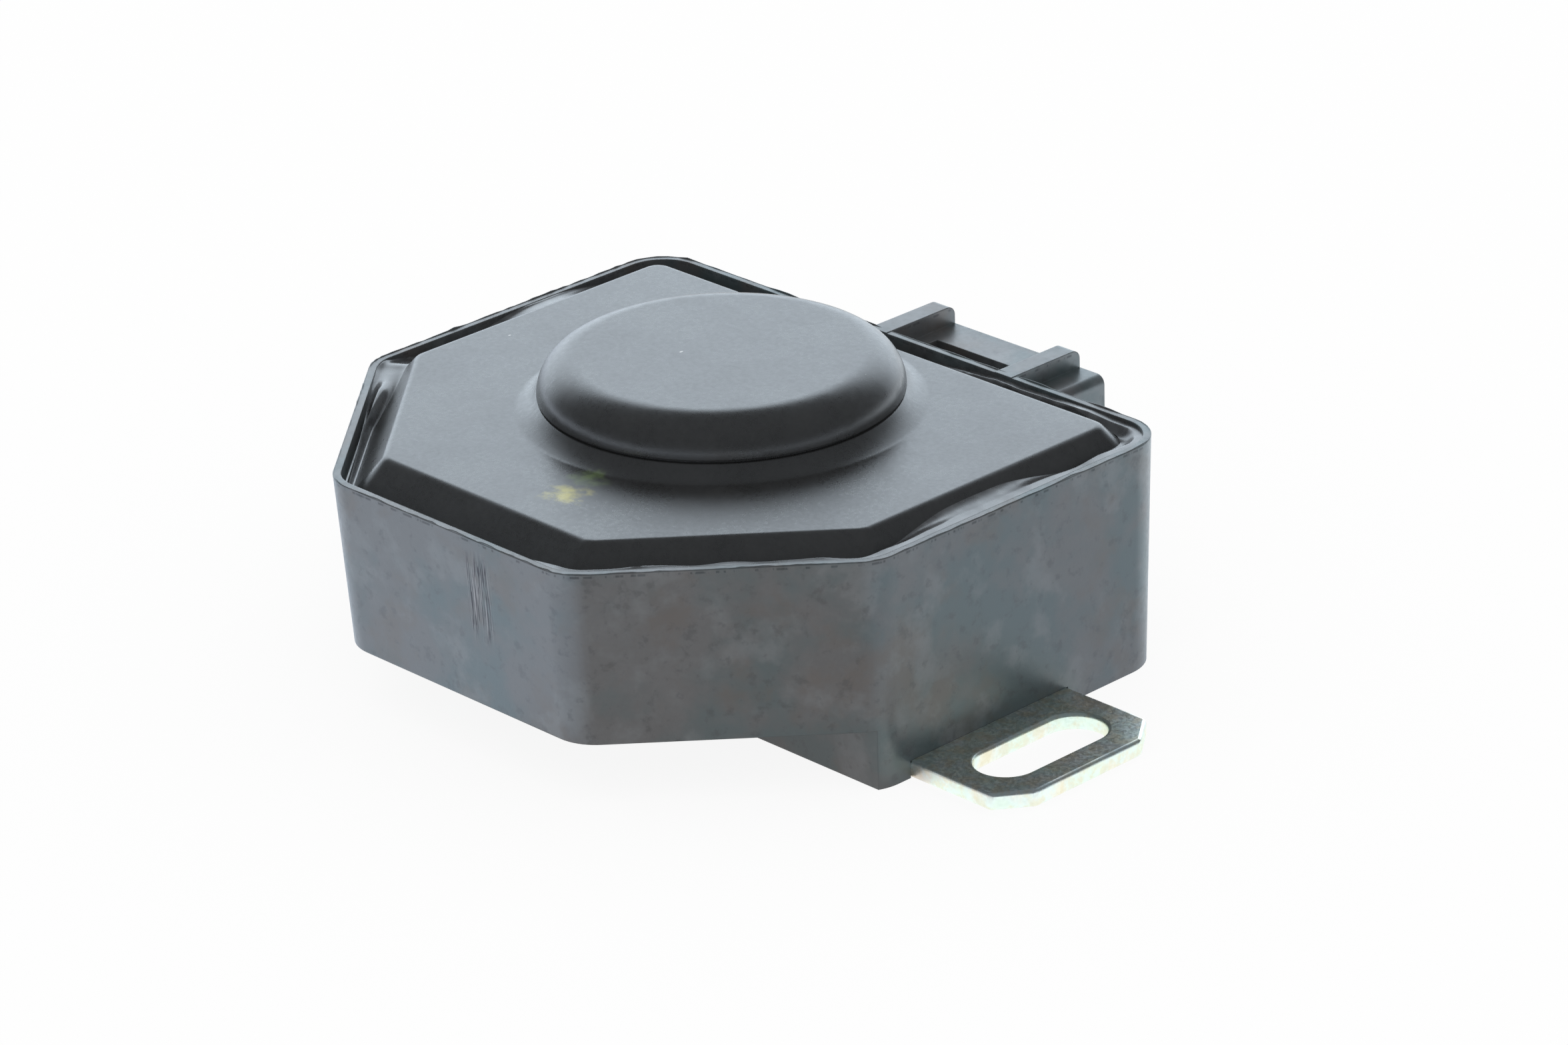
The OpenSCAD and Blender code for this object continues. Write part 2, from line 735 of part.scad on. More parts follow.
module rotor() {
  color([0.78, 0.76, 0.7]) difference() {
    union() {
      translate([0, 0, hub_bottom]) cylinder(h = disc_z - hub_bottom + cut, r = hub_r);
      slab(disc_z, disc_top) {
        circle(disc_r);
        sector(arm_r, disc_r - cut, wiper_rest, arm_angle);
      }
      translate([0, 0, disc_top - cut]) cylinder(h = top_hub_h + cut, r = top_hub_r);
      slab(disc_top - cut, disc_top + lug_h)
        sector(stop_r + stop_w / 2, stop_r - stop_w / 2, lug_rest, lug_angle);
    }
    slab(hub_bottom - cut, drive_top) socket_outline();
    // Recess behind the flat, for the clip
    translate([shaft_flat, -clip_w / 2, hub_bottom + clip_margin])
      cube([socket_gap + clip_room, clip_w, drive_depth - 2 * clip_margin]);
    translate([0, 0, pin_tip_z - pin_room])
      cylinder(h = pin_depth + pin_room + cut, r = pin_r + run_gap);
    rotate(wiper_rest) rivet_holes();
  }
}

// Bowed leaf: a slice of a large ring, whose ends bear on the recess and whose middle faces the shaft
module shaft_clip() {
  chord = drive_depth - 2 * clip_margin;
  bow = clip_room - clip_t;
  bow_r = (chord * chord / 4 + bow * bow) / 2 / bow;
  wall_x = shaft_flat + socket_gap + clip_room;
  color([0.75, 0.75, 0.72])
    translate([0, clip_w / 2, 0]) rotate([90, 0, 0]) linear_extrude(clip_w) intersection() {
      difference() {
        translate([wall_x - clip_room + bow_r, hub_bottom + drive_depth / 2]) circle(bow_r, $fn = 180);
        translate([wall_x - clip_room + bow_r, hub_bottom + drive_depth / 2]) circle(bow_r - clip_t, $fn = 180);
      }
      translate([wall_x - clip_room - cut, hub_bottom + clip_margin]) square([clip_room + cut, chord]);
    }
}

module rivet_holes() {
  for (x = rivet_places)
    translate([x, rivet_y, disc_z - cut]) cylinder(h = disc_t + 2 * cut, r = rivet_r);
}

// Side view of one finger, along the arm's direction of travel: it drops to the track and turns up
module finger_profile() {
  tip = base_y - finger_len;
  end = tip - 2 * tip_rise;
  polygon([
    [base_y + sheet_t, disc_z], [base_y + sheet_t, disc_z - sheet_t], [base_y - 2 * sheet_t, disc_z - sheet_t],
    [tip + tip_rise, finger_z], [tip, finger_z], [end, finger_z + tip_rise], [end, finger_z + tip_rise + sheet_t],
    [tip, finger_z + sheet_t], [tip + tip_rise, finger_z + sheet_t], [base_y - sheet_t, disc_z]
  ]);
}

module wiper_bridge() {
  color([0.8, 0.7, 0.4]) rotate(wiper_rest) difference() {
    union() {
      translate([collect_r - finger_w / 2, base_y, disc_z - sheet_t])
        cube([resist_r - collect_r + finger_w, 2 * rivet_y - base_y, sheet_t]);
      for (x = [collect_r, resist_r]) yz_plate(x, finger_w) finger_profile();
    }
    for (x = rivet_places)
      translate([x, rivet_y, disc_z - sheet_t - cut]) cylinder(h = sheet_t + 2 * cut, r = rivet_r);
  }
}

module wiper_rivets() {
  color([0.75, 0.6, 0.35]) rotate(wiper_rest) for (x = rivet_places) translate([x, rivet_y, 0]) {
    translate([0, 0, disc_z - sheet_t - rivet_head_h])
      cylinder(h = disc_t + sheet_t + 2 * rivet_head_h, r = rivet_r);
    translate([0, 0, disc_z - sheet_t - rivet_head_h]) cylinder(h = rivet_head_h, r = rivet_head_r);
    translate([0, 0, disc_top]) cylinder(h = rivet_head_h, r = rivet_head_r);
  }
}

// Path of the return spring: lower leg, coil, upper leg
function spring_path(steps) = concat(
  [concat(ring_of(stop_r, leg_angle), 0)],
  [for (k = [0:steps]) concat(ring_of(spring_r, leg_angle + 360 * spring_turns * k / steps),
    spring_pitch * spring_turns * k / steps)],
  [concat(ring_of(stop_r, top_leg_angle), spring_pitch * spring_turns)]
);

// Direction of a path at one of its points
function heading(path, i) = let (
    before = unit(path[max(i, 1)] - path[max(i, 1) - 1]),
    after = unit(path[min(i + 1, len(path) - 1)] - path[min(i, len(path) - 2)])
  )
  unit(before + after);

// Round wire along a path that stays nearly level
module wire(path, r, sides = 8) {
  last = len(path) - 1;
  points = [
    for (i = [0:last])
      let (
        along = heading(path, i),
        across = unit(cross([0, 0, 1], along)),
        over = cross(along, across),
        next = i == last ? along : unit(path[i + 1] - path[i]),
        stretch = 1 / max(along * next, 0.5)
      )
      for (k = [0:sides - 1])
        path[i] + across * r * stretch * cos(360 * k / sides) + over * r * sin(360 * k / sides)
  ];
  skin = [
    for (i = [0:last - 1])
      for (k = [0:sides - 1])
        let (a = i * sides + k, b = i * sides + (k + 1) % sides)
        each [[a, b, a + sides], [b, b + sides, a + sides]]
  ];
  polyhedron(
    points,
    concat(skin, [[for (k = [sides - 1:-1:0]) k]], [[for (k = [0:sides - 1]) last * sides + k]])
  );
}

module return_spring() {
  color([0.7, 0.7, 0.68]) translate([0, 0, spring_z]) wire(spring_path(round(24 * spring_turns)), spring_wire / 2);
}

// Cone-shaped spring washer between the rotor's upper hub and the cover's boss
module disc_spring() {
  color([0.7, 0.7, 0.68]) rotate_extrude() polygon([
    [pin_r + 2 * run_gap, hub_top + disc_spring_h - disc_spring_t],
    [top_hub_r - disc_spring_t, hub_top],
    [top_hub_r - disc_spring_t, hub_top + disc_spring_t],
    [pin_r + 2 * run_gap, hub_top + disc_spring_h]
  ]);
}

// Plan of the board: the tub's plan, cut straight at the sides and at the back
module board_outline() {
  intersection() {
    rounded(inset_plan(same(wall_t + board_gap)), corner_r - wall_t);
    translate([board_in - half_w, -front_len]) square([body_w - 2 * board_in, front_len + inner_back_y - board_gap]);
  }
}

module resistor_board() {
  color([0.75, 0.75, 0.7]) difference() {
    slab(board_z, board_top) board_outline();
    translate([0, 0, board_z - cut]) cylinder(h = board_t + 2 * cut, r = boss_r + board_gap);
    for (place = concat(front_screws, side_screws))
      translate([place[0], place[1], board_z - cut]) cylinder(h = board_t + 2 * cut, r = screw_r);
    for (i = [0:2])
      translate([blade_x(i) - blade_t / 2, tail_y - tail_w / 2, board_z - cut])
        cube([blade_t, tail_w, board_t + 2 * cut]);
  }
}

// One printed arc under the travel of a finger's tip
module track(r) {
  tip_angle = atan((base_y - finger_len) / r);
  middle = (wiper_rest + wiper_end) / 2 + tip_angle;
  slab(board_top, track_z) sector(r + track_w / 2, r - track_w / 2, middle, travel_angle + 2 * track_over_angle);
}

module resistance_track() {
  color([0.08, 0.08, 0.08]) track(resist_r);
}

module collector_track() {
  color([0.6, 0.6, 0.58]) track(collect_r);
}

// Cone of solder round each tail
module solder_joints() {
  color([0.8, 0.8, 0.78]) for (i = [0:2]) difference() {
    translate([blade_x(i), tail_y, board_top]) cylinder(h = solder_h, r1 = tail_w, r2 = tail_w - solder_h);
    translate([blade_x(i) - blade_t / 2, tail_y - tail_w / 2, board_top - cut])
      cube([blade_t, tail_w, solder_h + 2 * cut]);
  }
}

module board_screws() {
  color([0.7, 0.7, 0.66]) for (place = concat(front_screws, side_screws)) translate([place[0], place[1], 0]) {
    translate([0, 0, board_z - screw_len]) cylinder(h = screw_len + board_t, r = screw_r);
    difference() {
      translate([0, 0, board_top]) cylinder(h = screw_head_h, r = screw_head_r);
      for (turn = [0, 90])
        rotate(turn) translate([-screw_head_r - cut, -driver_w / 2, board_top + screw_head_h / 2])
          cube([2 * (screw_head_r + cut), driver_w, screw_head_h]);
    }
  }
}

// One stamped contact: the blade, the run through the wall and the tail through the board
module terminal(i) {
  tip = mouth_y - blade_recess;
  low = conn_mid_z - blade_h / 2;
  high = conn_mid_z + blade_h / 2;
  heel = tail_y - tail_w / 2;
  yz_plate(blade_x(i), blade_t) polygon([
    [heel, high], [heel, board_z - tail_out], [heel + tail_w, board_z - tail_out], [heel + tail_w, low],
    [tip - tip_cut, low], [tip, low + tip_cut], [tip, high - tip_cut], [tip - tip_cut, high]
  ]);
}

module terminal_1() {
  color([0.72, 0.7, 0.66]) terminal(0);
}

module terminal_2() {
  color([0.72, 0.7, 0.66]) terminal(1);
}

module terminal_3() {
  color([0.72, 0.7, 0.66]) terminal(2);
}

housing();
cover();
sealing_compound();
mounting_plate();
shaft_bush();
thrust_washer();
shaft_seal();
seal_spring();
rotor();
shaft_clip();
wiper_bridge();
wiper_rivets();
return_spring();
disc_spring();
resistor_board();
resistance_track();
collector_track();
board_screws();
solder_joints();
terminal_1();
terminal_2();
terminal_3();
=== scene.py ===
import math
import bmesh
import bpy
from mathutils import Matrix, Vector, noise


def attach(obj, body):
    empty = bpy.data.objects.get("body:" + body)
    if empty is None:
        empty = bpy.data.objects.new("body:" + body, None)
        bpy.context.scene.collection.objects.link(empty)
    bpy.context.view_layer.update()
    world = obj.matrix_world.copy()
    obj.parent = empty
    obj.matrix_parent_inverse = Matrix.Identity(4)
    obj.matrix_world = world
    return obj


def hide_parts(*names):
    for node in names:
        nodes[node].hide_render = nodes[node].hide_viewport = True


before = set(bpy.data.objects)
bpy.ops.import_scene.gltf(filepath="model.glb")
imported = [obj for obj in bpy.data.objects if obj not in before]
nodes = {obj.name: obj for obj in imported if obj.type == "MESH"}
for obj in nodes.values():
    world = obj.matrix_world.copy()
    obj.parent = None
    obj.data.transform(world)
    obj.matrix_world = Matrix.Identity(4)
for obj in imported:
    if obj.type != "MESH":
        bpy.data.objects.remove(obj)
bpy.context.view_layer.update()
scene = bpy.context.scene
MM = 0.001

# Camera, as fitted to the edges in the photo
cam_data = bpy.data.cameras.new("camera")
cam = bpy.data.objects.new("camera", cam_data)
scene.collection.objects.link(cam)
scene.camera = cam
cam_data.sensor_width = 36.0
cam_data.sensor_fit = "HORIZONTAL"
cam_data.lens = 135.77
cam_data.clip_start = 0.02
cam_data.clip_end = 20.0
cam_right = Vector((0.6976086, 0.7158579, -0.0298287))
cam_up = Vector((-0.2760872, 0.3069990, 0.9107843))
cam_back = Vector((0.6611495, -0.6271357, 0.4118036))
cam_place = Vector((0.324834, -0.301614, 0.210100))
cam.matrix_world = Matrix(
    [[cam_right[i], cam_up[i], cam_back[i], cam_place[i]] for i in range(3)] + [[0, 0, 0, 1]]
)
scene.view_settings.view_transform = "Standard"


# Node helpers
class Tree:
    def __init__(self, tree):
        self.tree = tree
        tree.nodes.clear()

    def add(self, kind, inputs=None, **settings):
        node = self.tree.nodes.new(kind)
        for key, value in settings.items():
            setattr(node, key, value)
        for key, value in (inputs or {}).items():
            self.put(value, node.inputs[key])
        return node

    def put(self, value, socket):
        """Links another node's output to the socket, or sets a constant on it."""
        if isinstance(value, bpy.types.NodeSocket):
            self.tree.links.new(value, socket)
        else:
            socket.default_value = value

    def math(self, operation, a, b=0.0):
        return self.add("ShaderNodeMath", {0: a, 1: b}, operation=operation).outputs[0]

    def times(self, first, *others):
        """Product of its values."""
        for other in others:
            first = self.math("MULTIPLY", first, other)
        return first

    def remap(self, value, low, high, to_low=0.0, to_high=1.0):
        """Smooth step from to_low to to_high while the value goes from low to high."""
        node = self.add(
            "ShaderNodeMapRange",
            {"Value": value, "From Min": low, "From Max": high, "To Min": to_low, "To Max": to_high},
            interpolation_type="SMOOTHSTEP",
        )
        return node.outputs["Result"]

    def within(self, value, start, full, fading, end):
        """1 from full to fading, and 0 before start and after end."""
        return self.times(self.remap(value, start, full), self.remap(value, fading, end, 1.0, 0.0))

    def along(self, place, direction):
        """How far the place, split into X, Y and Z, lies along a level direction."""
        parts = [self.times(place.outputs[axis], part) for axis, part in zip("XY", direction)]
        return self.math("ADD", *parts)

    def mix(self, factor, a, b):
        """Colour from a to b as the factor goes from 0 to 1."""
        node = self.add("ShaderNodeMix", {0: factor}, data_type="RGBA")
        for key, value in ((6, a), (7, b)):
            self.put((*value, 1.0) if isinstance(value, tuple) else value, node.inputs[key])
        return node.outputs[2]

    def place_mm(self, scale=(1.0, 1.0, 1.0)):
        """Place on the object in millimetres, stretched by a scale on each axis."""
        coords = self.add("ShaderNodeTexCoord").outputs["Object"]
        scaled = self.add(
            "ShaderNodeVectorMath", {0: coords, 1: tuple(s / MM for s in scale)}, operation="MULTIPLY"
        )
        return scaled.outputs[0]

    def noise(self, vector, scale, detail=3.0, roughness=0.5):
        node = self.add(
            "ShaderNodeTexNoise",
            {"Vector": vector, "Scale": scale, "Detail": detail, "Roughness": roughness},
        )
        return node.outputs["Fac"]

    def bump(self, height, strength, distance, normal=None):
        inputs = {"Height": height, "Strength": strength, "Distance": distance}
        if normal is not None:
            inputs["Normal"] = normal
        return self.add("ShaderNodeBump", inputs).outputs["Normal"]


def new_material(name, colour, roughness, metallic=0.0, ior=1.5):
    """Material with one shader; gives it, its tree and the shader's inputs."""
    material = bpy.data.materials.new(name)
    material.use_nodes = True
    material.diffuse_color = (*colour, 1.0)
    tree = Tree(material.node_tree)
    out = tree.add("ShaderNodeOutputMaterial")
    shader = tree.add(
        "ShaderNodeBsdfPrincipled",
        {"Base Color": (*colour, 1.0), "Roughness": roughness, "Metallic": metallic, "IOR": ior},
    )
    tree.put(shader.outputs["BSDF"], out.inputs["Surface"])
    return material, tree, shader.inputs


def specks(tree, vector, scale, size, share):
    """Small round specks: 1 in a few cells of a Voronoi pattern, near the cell's centre."""
    cells = tree.add("ShaderNodeTexVoronoi", {"Vector": vector, "Scale": scale, "Randomness": 1.0})
    near = tree.remap(cells.outputs["Distance"], size * 0.6, size, 1.0, 0.0)
    pick = tree.add("ShaderNodeSeparateColor", {"Color": cells.outputs["Color"]}).outputs["Red"]
    return tree.times(near, tree.math("LESS_THAN", pick, share))


# Radius of a moulded piece's edges, in millimetres, and height of the grain, in metres
EDGE_R = 0.16
GRAIN_H = 0.00002
DUST = (0.50, 0.51, 0.50)
PIT = (0.012, 0.012, 0.012)
# Most of a noise lies between these
NOISE_LOW = 0.3
NOISE_HIGH = 0.7


def plastic(name, colour, light, roughness, grain, grain_scale, speck_share, ior):
    """Moulded plastic with cloudy colour and gloss, dust, pits, a fine grain and rounded edges."""
    material, tree, sockets = new_material(name, colour, roughness, ior=ior)
    at = tree.place_mm()
    cloudy = tree.noise(at, 0.22, 4.0, 0.55)
    fine = tree.noise(at, 2.4, 3.0, 0.6)
    broad = tree.remap(cloudy, NOISE_LOW, NOISE_HIGH, 0.0, 0.6)
    tone = tree.math("ADD", broad, tree.remap(fine, NOISE_LOW, NOISE_HIGH, 0.0, 0.4))
    base = tree.mix(tone, colour, light)
    dust = specks(tree, tree.place_mm((1.0, 0.6, 1.0)), 0.42, 0.055, speck_share)
    base = tree.mix(tree.times(dust, 0.85), base, DUST)
    pits = specks(tree, tree.place_mm((0.7, 1.0, 0.7)), 0.35, 0.05, speck_share * 0.7)
    base = tree.mix(tree.times(pits, 0.5), base, PIT)
    rough = tree.math("ADD", tree.remap(cloudy, NOISE_LOW, NOISE_HIGH, -0.02, 0.02), roughness)
    rough = tree.math("ADD", rough, tree.remap(fine, NOISE_LOW, NOISE_HIGH, -0.03, 0.03))
    tree.put(rough, sockets["Roughness"])
    height = tree.noise(at, grain_scale, 4.0, 0.65)
    edges = tree.add("ShaderNodeBevel", {"Radius": EDGE_R * MM}, samples=6).outputs["Normal"]
    tree.put(tree.bump(height, grain, GRAIN_H, edges), sockets["Normal"])
    return material, tree, sockets, base


# Each cloudy stain has its seed, its scale per millimetre, the noise at which it starts and is full,
# its strength, its colour and the tint of its gloss: bluish, brown, pale, and small and dark.
STAINS = (
    (3.0, 0.10, 0.44, 0.62, 0.6, (0.030, 0.052, 0.056), (0.78, 0.96, 1.0)),
    (11.0, 0.16, 0.50, 0.66, 0.5, (0.060, 0.052, 0.046), (0.95, 0.87, 0.82)),
    (23.0, 0.22, 0.50, 0.68, 0.6, (0.100, 0.112, 0.120), (1.0, 1.0, 1.0)),
    (37.0, 0.9, 0.54, 0.70, 0.45, (0.026, 0.028, 0.030), (0.72, 0.74, 0.76)),
)
# The scuffs on the front wall and the dashes of painted shade under the rim: where each starts, is full,
# fades and ends
SCUFF_X = (2.2, 2.9, 4.6, 5.5)
SCUFF_Z = (10.4, 12.4, 17.0, 19.2)
FRONT_Y = -29.5
SHADE_DASHES_Z = (19.40, 19.52, 19.60, 19.70)
SCUFF_PALE = (0.26, 0.25, 0.27)
SCUFF_DARK = (0.008, 0.008, 0.010)
SCUFF_GLOSS = (0.35, 0.33, 0.38)
# Gloss tint of the dashes under the rim, a painted shade
DASH_SHADE_GLOSS = (0.30, 0.30, 0.32)


def housing_plastic():
    """Black moulding with cloudy stains, scuffs down the front wall and dashes of painted shade under the
    rim.
    """
    material, t, sockets, base = plastic(
        "housing_plastic", (0.046, 0.049, 0.052), (0.066, 0.070, 0.074),
        roughness=0.36, grain=0.35, grain_scale=7.0, speck_share=0.10, ior=1.9,
    )
    at = t.place_mm()
    x, y, z = t.add("ShaderNodeSeparateXYZ", {"Vector": at}).outputs
    gloss = (1.0, 1.0, 1.0)
    for seed, scale, low, high, strength, colour, tint in STAINS:
        moved = t.add("ShaderNodeVectorMath", {0: at, 1: (seed, seed, seed)}, operation="ADD").outputs[0]
        share = t.remap(t.noise(moved, scale, 4.0, 0.6), low, high, 0.0, strength)
        base = t.mix(share, base, colour)
        gloss = t.mix(share, gloss, tint)
    # Upright scuffs, pale lines and dark ones
    scuffed = t.times(t.within(x, *SCUFF_X), t.within(z, *SCUFF_Z), t.math("LESS_THAN", y, FRONT_Y))
    pale = t.remap(t.noise(t.place_mm((7.0, 7.0, 0.05)), 1.0, 2.0, 0.5), 0.54, 0.60)
    base = t.mix(t.times(scuffed, pale, 0.6), base, SCUFF_PALE)
    dark = t.remap(t.noise(t.place_mm((8.0, 8.0, 0.06)), 1.0, 1.0, 0.5), 0.42, 0.48, 1.0, 0.0)
    base = t.mix(t.times(scuffed, dark, 0.85), base, SCUFF_DARK)
    gloss = t.mix(t.times(scuffed, dark), gloss, SCUFF_GLOSS)
    # Painted shade: torn, dark dashes in the gloss just under the rim, where the rim's flash casts its shade
    rim_shade_dashes = t.remap(t.noise(t.place_mm((1.1, 1.1, 0.2)), 1.0, 3.0, 0.6), 0.50, 0.56)
    gloss = t.mix(t.times(rim_shade_dashes, t.within(z, *SHADE_DASHES_Z)), gloss, DASH_SHADE_GLOSS)
    t.put(base, sockets["Base Color"])
    t.put(gloss, sockets["Specular Tint"])
    return material


# Each spot of marking paint has its middle, its reach in millimetres, its strength and its colour
PAINT = (
    ((4.3, -21.0, 20.75), 2.1, 1.0, (0.34, 0.31, 0.04)),
    ((3.1, -17.8, 20.75), 2.0, 0.6, (0.12, 0.18, 0.06)),
)


def cover_plastic():
    """Black moulding with two worn spots of marking paint."""
    material, t, sockets, base = plastic(
        "cover_plastic", (0.018, 0.0185, 0.019), (0.026, 0.027, 0.028),
        roughness=0.30, grain=0.4, grain_scale=6.0, speck_share=0.12, ior=1.78,
    )
    at = t.place_mm()
    worn = t.remap(t.noise(at, 0.9, 3.0, 0.55), 0.25, 0.75, -0.8, 0.8)
    for middle, reach, strength, colour in PAINT:
        away = t.add("ShaderNodeVectorMath", {0: at, 1: middle}, operation="DISTANCE").outputs["Value"]
        base = t.mix(t.remap(t.math("ADD", away, worn), 0.0, reach, strength, 0.0), base, colour)
    t.put(base, sockets["Base Color"])
    return material


def sealing_resin():
    """Poured dark resin, cloudy and slightly wavy."""
    material, t, sockets = new_material("sealing_resin", (0.04, 0.042, 0.045), 0.28, ior=1.95)
    at = t.place_mm()
    cloudy = t.remap(t.noise(at, 0.7, 3.0, 0.5), 0.35, 0.7)
    t.put(t.mix(cloudy, (0.03, 0.031, 0.033), (0.06, 0.063, 0.067)), sockets["Base Color"])
    uneven_gloss = t.remap(t.noise(at, 0.5, 3.0, 0.5), NOISE_LOW, NOISE_HIGH, 0.22, 0.32)
    t.put(uneven_gloss, sockets["Roughness"])
    t.put(t.bump(t.noise(at, 0.7, 2.0, 0.5), 0.3, 0.00004), sockets["Normal"])
    return material


# Colours of the passivation, each with the noise at which it shows. The ramp's own two stops come first.
PASSIVATION = (
    (0.25, (0.97, 0.91, 0.72)),
    (0.75, (0.80, 0.97, 0.98)),
    (0.4, (0.96, 0.92, 0.85)),
    (0.5, (0.84, 0.96, 0.98)),
    (0.6, (0.88, 0.98, 0.87)),
)
STEEL_STAIN = (0.86, 0.76, 0.56)


def zinc_plate():
    """Zinc-plated steel with a faint rainbow passivation, slightly wavy from the rolling."""
    material, t, sockets = new_material("zinc_plate", (0.72, 0.71, 0.66), 0.22, metallic=1.0)
    at = t.place_mm()
    ramp = t.add("ShaderNodeValToRGB", {"Fac": t.noise(at, 0.28, 4.0, 0.55)})
    stops = ramp.color_ramp.elements
    ramp.color_ramp.interpolation = "B_SPLINE"
    for i, (position, colour) in enumerate(PASSIVATION):
        stop = stops[i] if i < 2 else stops.new(position)
        stop.position = position
        stop.color = (*colour, 1.0)
    stains = t.remap(t.noise(at, 0.7, 4.0, 0.65), 0.42, 0.62, 0.0, 0.55)
    t.put(t.mix(stains, ramp.outputs["Color"], STEEL_STAIN), sockets["Base Color"])
    uneven_gloss = t.remap(t.noise(at, 3.5, 4.0, 0.6), NOISE_LOW, NOISE_HIGH, 0.28, 0.42)
    t.put(uneven_gloss, sockets["Roughness"])
    rolled = t.noise(t.place_mm((0.5, 3.0, 1.0)), 1.0, 3.0, 0.5)
    wavy = t.bump(t.noise(at, 0.16, 1.0, 0.4), 1.0, 0.0004)
    t.put(t.bump(rolled, 0.10, 0.00001, wavy), sockets["Normal"])
    return material


def simple(name, colour, other, roughness, metallic, scale, grain, stretch=(1.0, 1.0, 1.0)):
    """Material with cloudy colour, uneven gloss and a fine grain."""
    material, tree, sockets = new_material(name, colour, roughness, metallic)
    where = tree.place_mm(stretch)
    cloudy = tree.noise(where, scale, 4.0, 0.6)
    tree.put(tree.mix(tree.remap(cloudy, NOISE_LOW, NOISE_HIGH), colour, other), sockets["Base Color"])
    fine = tree.noise(where, scale * 6.0, 3.0, 0.6)
    tree.put(tree.remap(fine, NOISE_LOW, NOISE_HIGH, roughness * 0.8, roughness * 1.25), sockets["Roughness"])
    tree.put(tree.bump(fine, grain, GRAIN_H), sockets["Normal"])
    return material


housing_mat = housing_plastic()
cover_mat = cover_plastic()
resin_mat = sealing_resin()
steel_mat = zinc_plate()
# Each has its name, two colours, roughness, metallic share, scale of its clouds per millimetre and grain
bronze_mat = simple("bronze", (0.50, 0.33, 0.16), (0.36, 0.24, 0.12), 0.38, 1.0, 1.2, 0.5)
pale_mat = simple("pale_plastic", (0.62, 0.58, 0.48), (0.54, 0.50, 0.41), 0.42, 0.0, 0.5, 0.3)
rubber_mat = simple("seal_rubber", (0.022, 0.022, 0.023), (0.045, 0.045, 0.046), 0.55, 0.0, 1.5, 0.6)
spring_mat = simple("spring_steel", (0.60, 0.60, 0.59), (0.46, 0.46, 0.46), 0.26, 1.0, 2.0, 0.3)
contact_mat = simple("contact_metal", (0.78, 0.60, 0.32), (0.66, 0.50, 0.28), 0.3, 1.0, 2.0, 0.3)
board_mat = simple("board", (0.66, 0.65, 0.58), (0.58, 0.57, 0.5), 0.5, 0.0, 1.5, 0.5)
carbon_mat = simple("carbon_ink", (0.03, 0.03, 0.032), (0.05, 0.05, 0.05), 0.5, 0.0, 3.0, 0.5)
silver_mat = simple("silver_ink", (0.66, 0.66, 0.64), (0.52, 0.52, 0.5), 0.36, 1.0, 3.0, 0.5)
screw_mat = simple("screw_steel", (0.66, 0.66, 0.6), (0.5, 0.5, 0.46), 0.3, 1.0, 2.0, 0.3)
tin_mat = simple("tinned_brass", (0.72, 0.69, 0.62), (0.6, 0.56, 0.48), 0.28, 1.0, 1.2, 0.3, (1.0, 0.15, 1.0))

FINISH = {
    "housing": housing_mat, "cover": cover_mat, "sealing_compound": resin_mat, "mounting_plate": steel_mat,
    "shaft_bush": bronze_mat, "thrust_washer": pale_mat, "shaft_seal": rubber_mat, "seal_spring": spring_mat,
    "rotor": pale_mat, "shaft_clip": spring_mat, "wiper_bridge": contact_mat, "wiper_rivets": contact_mat,
    "return_spring": spring_mat, "disc_spring": spring_mat, "resistor_board": board_mat,
    "resistance_track": carbon_mat, "collector_track": silver_mat, "board_screws": screw_mat,
    "solder_joints": silver_mat, "terminal_1": tin_mat, "terminal_2": tin_mat, "terminal_3": tin_mat,
}
for name, node in nodes.items():
    if not node.material_slots:
        node.data.materials.append(FINISH[name])
    for material_slot in node.material_slots:
        material_slot.material = FINISH[name]

# Distance at which a node's points are joined, in metres, and the largest angle that counts as flat
JOIN_WITHIN = 2e-6
FLAT_ANGLE = 0.3


def soften(node, angle=30.0, bevel=0.0, segments=2):
    """Joins the node's faces and shades its round ones smooth. A bevel, in mm, rounds its sharp edges."""
    group = bpy.data.node_groups.new("soften_" + node.name, "GeometryNodeTree")
    group.interface.new_socket("Geometry", in_out="INPUT", socket_type="NodeSocketGeometry")
    group.interface.new_socket("Geometry", in_out="OUTPUT", socket_type="NodeSocketGeometry")
    g = Tree(group)
    start = g.add("NodeGroupInput")
    end = g.add("NodeGroupOutput")
    merged = g.add("GeometryNodeMergeByDistance", {"Geometry": start.outputs[0], "Distance": JOIN_WITHIN})
    bare = g.add("GeometryNodeRemoveAttribute", {"Geometry": merged.outputs[0], "Name": "custom_normal"})
    smooth = g.add(
        "GeometryNodeSetShadeSmooth", {"Geometry": bare.outputs[0], "Shade Smooth": True}, domain="FACE"
    )
    edge = g.add("GeometryNodeInputMeshEdgeAngle").outputs[0]
    sharp = g.add("FunctionNodeCompare", {0: edge, 1: math.radians(angle)}, operation="GREATER_THAN")
    keep = g.add(
        "GeometryNodeSetShadeSmooth",
        {"Geometry": smooth.outputs[0], "Selection": sharp.outputs[0], "Shade Smooth": False},
        domain="EDGE",
    )
    g.put(keep.outputs[0], end.inputs[0])
    modifier = node.modifiers.new("join", "NODES")
    modifier.node_group = group
    if bevel:
        flat = node.modifiers.new("flat", "DECIMATE")
        flat.decimate_type = "DISSOLVE"
        flat.angle_limit = math.radians(FLAT_ANGLE)
        edge_round = node.modifiers.new("edges", "BEVEL")
        edge_round.width = bevel * MM
        edge_round.segments = segments
        edge_round.limit_method = "ANGLE"
        edge_round.angle_limit = math.radians(angle)
        edge_round.use_clamp_overlap = False
    shading = node.modifiers.new("shading", "WEIGHTED_NORMAL")
    shading.mode = "FACE_AREA"
    shading.weight = 80
    shading.keep_sharp = True


soften(nodes["housing"])
soften(nodes["cover"], angle=38.0)
soften(nodes["mounting_plate"], bevel=0.3, segments=4)

